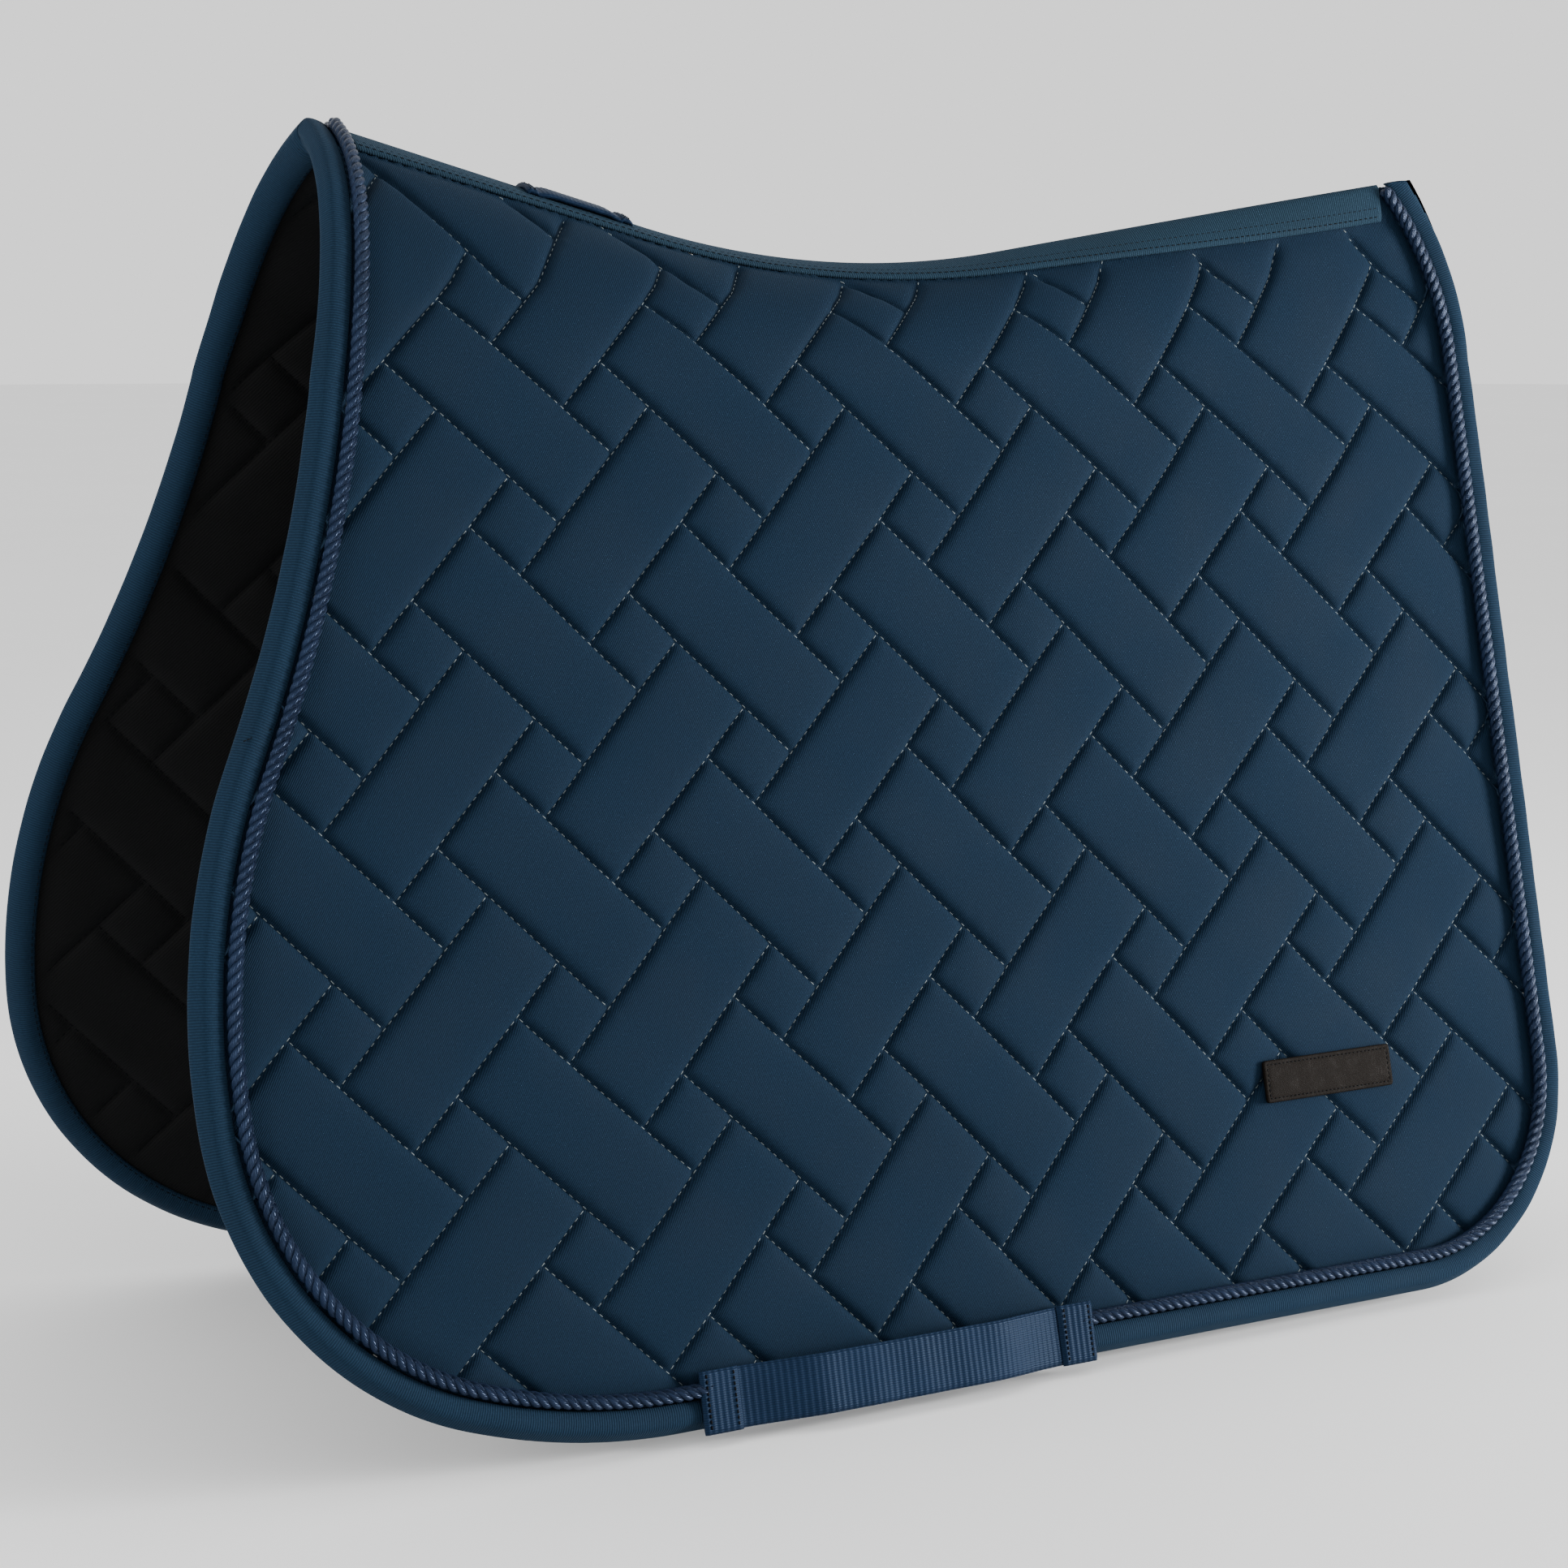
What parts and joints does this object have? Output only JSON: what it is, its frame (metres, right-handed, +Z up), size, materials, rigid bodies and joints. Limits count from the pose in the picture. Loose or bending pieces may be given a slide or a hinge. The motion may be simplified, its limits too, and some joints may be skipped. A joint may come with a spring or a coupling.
{
  "type": "saddle pad",
  "caption": "Quilted jumping saddle pad with an arched spine, folding side flaps, bound edges with rope trim, girth loops and a blank leather patch.",
  "frame": {"origin": "in the middle plane, under the dip of the spine, level with the lining that rests on the horse's back", "axes": "+X runs rearward from the withers to the loins, -Y is the horse's left side, +Z is up"},
  "size_m": [0.6882, 0.3564, 0.532],
  "materials": {
    "sewing_thread": "matt polyester thread",
    "leather": "smooth dark brown, slightly worn",
    "foam": "quilting foam and wadding",
    "lining": "black quick-dry lining",
    "twill": "fine twill, soft sheen",
    "binding": "ribbed twill tape",
    "rope": "twisted satin cord",
    "webbing": "ribbed webbing",
    "seam_tape": "black seam tape",
    "tape": "ribbed tape"
  },
  "bodies": {
    "spine": {"left_upper_foam_core": "foam", "left_upper_lining": "lining", "left_upper_outer_fabric": "twill", "loin_binding": "binding", "loin_rope_trim": "rope", "right_upper_foam_core": "foam", "right_upper_lining": "lining", "right_upper_outer_fabric": "twill", "spine_seam_tape": "seam_tape", "spine_tape": "tape", "withers_binding": "binding", "withers_rope_trim": "rope", "withers_tab": "webbing"},
    "left_flap": {"left_edge_binding": "binding", "left_flap_foam_core": "foam", "left_flap_lining": "lining", "left_flap_outer_fabric": "twill", "left_front_rope_trim": "rope", "left_girth_loop": "webbing", "left_girth_loop_stitching": "sewing_thread", "left_rear_rope_trim": "rope", "leather_patch": "leather", "leather_patch_stitching": "sewing_thread"},
    "right_flap": {"right_edge_binding": "binding", "right_flap_foam_core": "foam", "right_flap_lining": "lining", "right_flap_outer_fabric": "twill", "right_front_rope_trim": "rope", "right_girth_loop": "webbing", "right_girth_loop_stitching": "sewing_thread", "right_rear_rope_trim": "rope"}
  },
  "joints": [
    {"name": "left_fold", "type": "hinge", "parent": "spine", "child": "left_flap", "pos_m": [0.00059, -0.05524, -0.03591], "axis": [-0.9925, -0.1219, 0], "range_deg": [-12, 75], "stiffness_Nm_per_rad": 1, "springref_deg": 7.85},
    {"name": "right_fold", "type": "hinge", "parent": "spine", "child": "right_flap", "pos_m": [0.00059, 0.05524, -0.03591], "axis": [0.9925, -0.1219, 0], "range_deg": [-12, 75], "stiffness_Nm_per_rad": 1, "springref_deg": 7.85}
  ]
}
